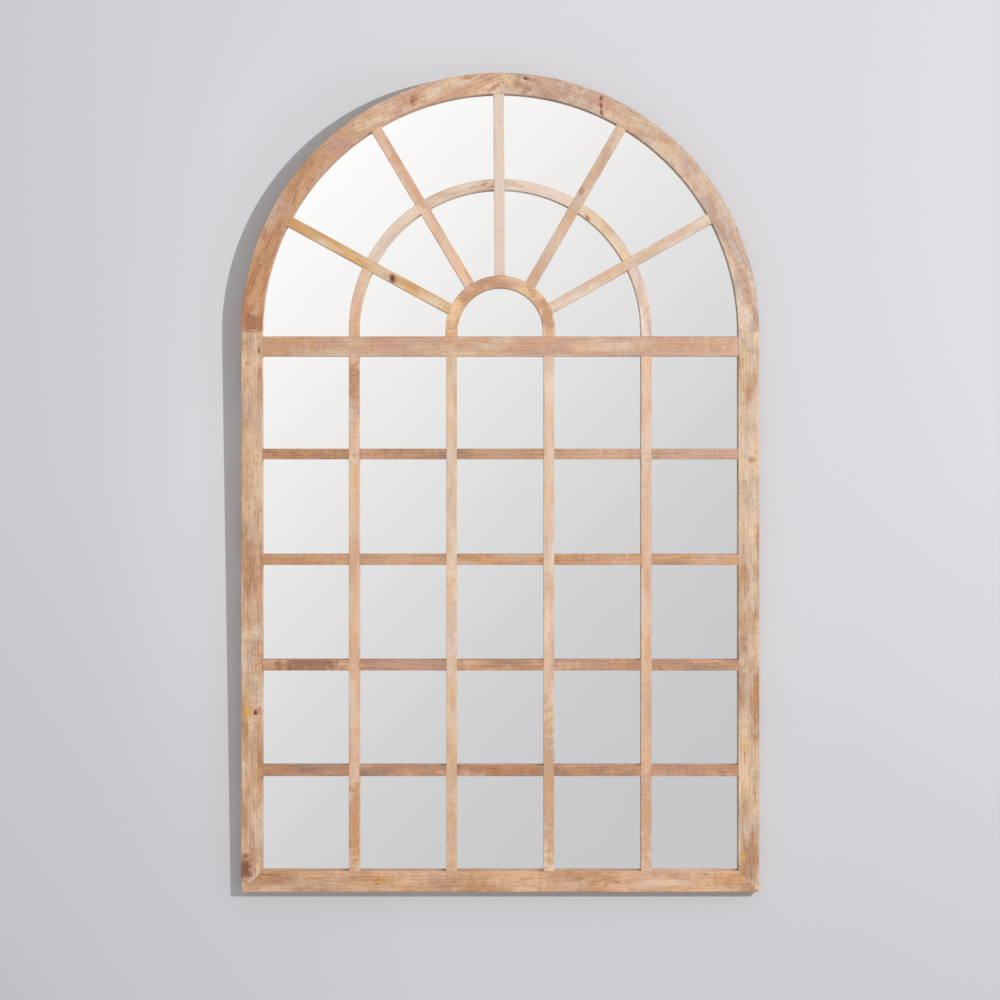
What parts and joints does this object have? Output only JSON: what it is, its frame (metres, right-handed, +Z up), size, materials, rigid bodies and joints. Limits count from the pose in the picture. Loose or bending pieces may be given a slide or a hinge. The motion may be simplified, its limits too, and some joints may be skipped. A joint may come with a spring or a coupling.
{
  "type": "arched window mirror",
  "caption": "Large wall mirror in a solid wood frame shaped like an arched window, with a fanlight over square panes, a back panel and ring hangers.",
  "frame": {"origin": "middle of the underside of the bottom rail, halfway through the frame's depth", "axes": "+Z up, the mirror's front faces -Y and its back the wall on +Y, +X to the right as seen from the front"},
  "size_m": [0.965, 0.036, 1.526],
  "materials": {
    "mango_tan": "light sanded mango wood, clear matt oil",
    "mango_rose": "light sanded mango wood, clear matt oil",
    "mango_brown": "light sanded mango wood, clear matt oil",
    "mango_pale": "light sanded mango wood, clear matt oil",
    "mango_gold": "light sanded mango wood, clear matt oil",
    "beech_dowel": "plain turned",
    "plywood": "plain sawn",
    "silvered_glass": "polished, silvered on the back",
    "foam_strip": "closed-cell foam",
    "fibreboard": "smooth pressed fibreboard",
    "zinc_screw": "yellowish zinc plate",
    "nickel_steel": "nickel plate",
    "bumper_rubber": "matt rubber"
  },
  "bodies": {
    "frame": {"arch_segment_1": "mango_tan", "arch_segment_2": "mango_tan", "arch_segment_3": "mango_tan", "arch_segment_4": "mango_tan", "back_panel": "fibreboard", "back_panel_screws": "zinc_screw", "bottom_rail": "mango_tan", "bumper_pads": "bumper_rubber", "cross_muntin_1": "mango_brown", "cross_muntin_2": "mango_brown", "cross_muntin_3": "mango_brown", "cross_muntin_4": "mango_brown", "cushion_strips": "foam_strip", "fan_spoke_1": "mango_rose", "fan_spoke_2": "mango_rose", "fan_spoke_3": "mango_rose", "fan_spoke_4": "mango_rose", "fan_spoke_5": "mango_gold", "frame_dowels": "beech_dowel", "hanger_screws": "zinc_screw", "hanger_strap_left": "nickel_steel", "hanger_strap_right": "nickel_steel", "hub_arch": "mango_gold", "left_stile": "mango_tan", "mid_arc_1": "mango_pale", "mid_arc_2": "mango_pale", "mid_arc_3": "mango_pale", "mid_arc_4": "mango_pale", "mid_arc_5": "mango_pale", "mid_arc_6": "mango_pale", "mirror_glass": "silvered_glass", "mitre_splines": "plywood", "right_stile": "mango_tan", "transom_rail": "mango_rose", "upright_muntin_1": "mango_pale", "upright_muntin_2": "mango_pale", "upright_muntin_3": "mango_pale", "upright_muntin_4": "mango_pale"},
    "left_ring": {"hanger_ring_left": "nickel_steel"},
    "right_ring": {"hanger_ring_right": "nickel_steel"}
  },
  "joints": [
    {"name": "left_ring_swing", "type": "hinge", "parent": "frame", "child": "left_ring", "pos_m": [-0.469, 0.01775, 0.978], "axis": [1, 0, 0], "range_deg": [0, 180]},
    {"name": "right_ring_swing", "type": "hinge", "parent": "frame", "child": "right_ring", "pos_m": [0.469, 0.01775, 0.978], "axis": [1, 0, 0], "range_deg": [0, 180]}
  ]
}
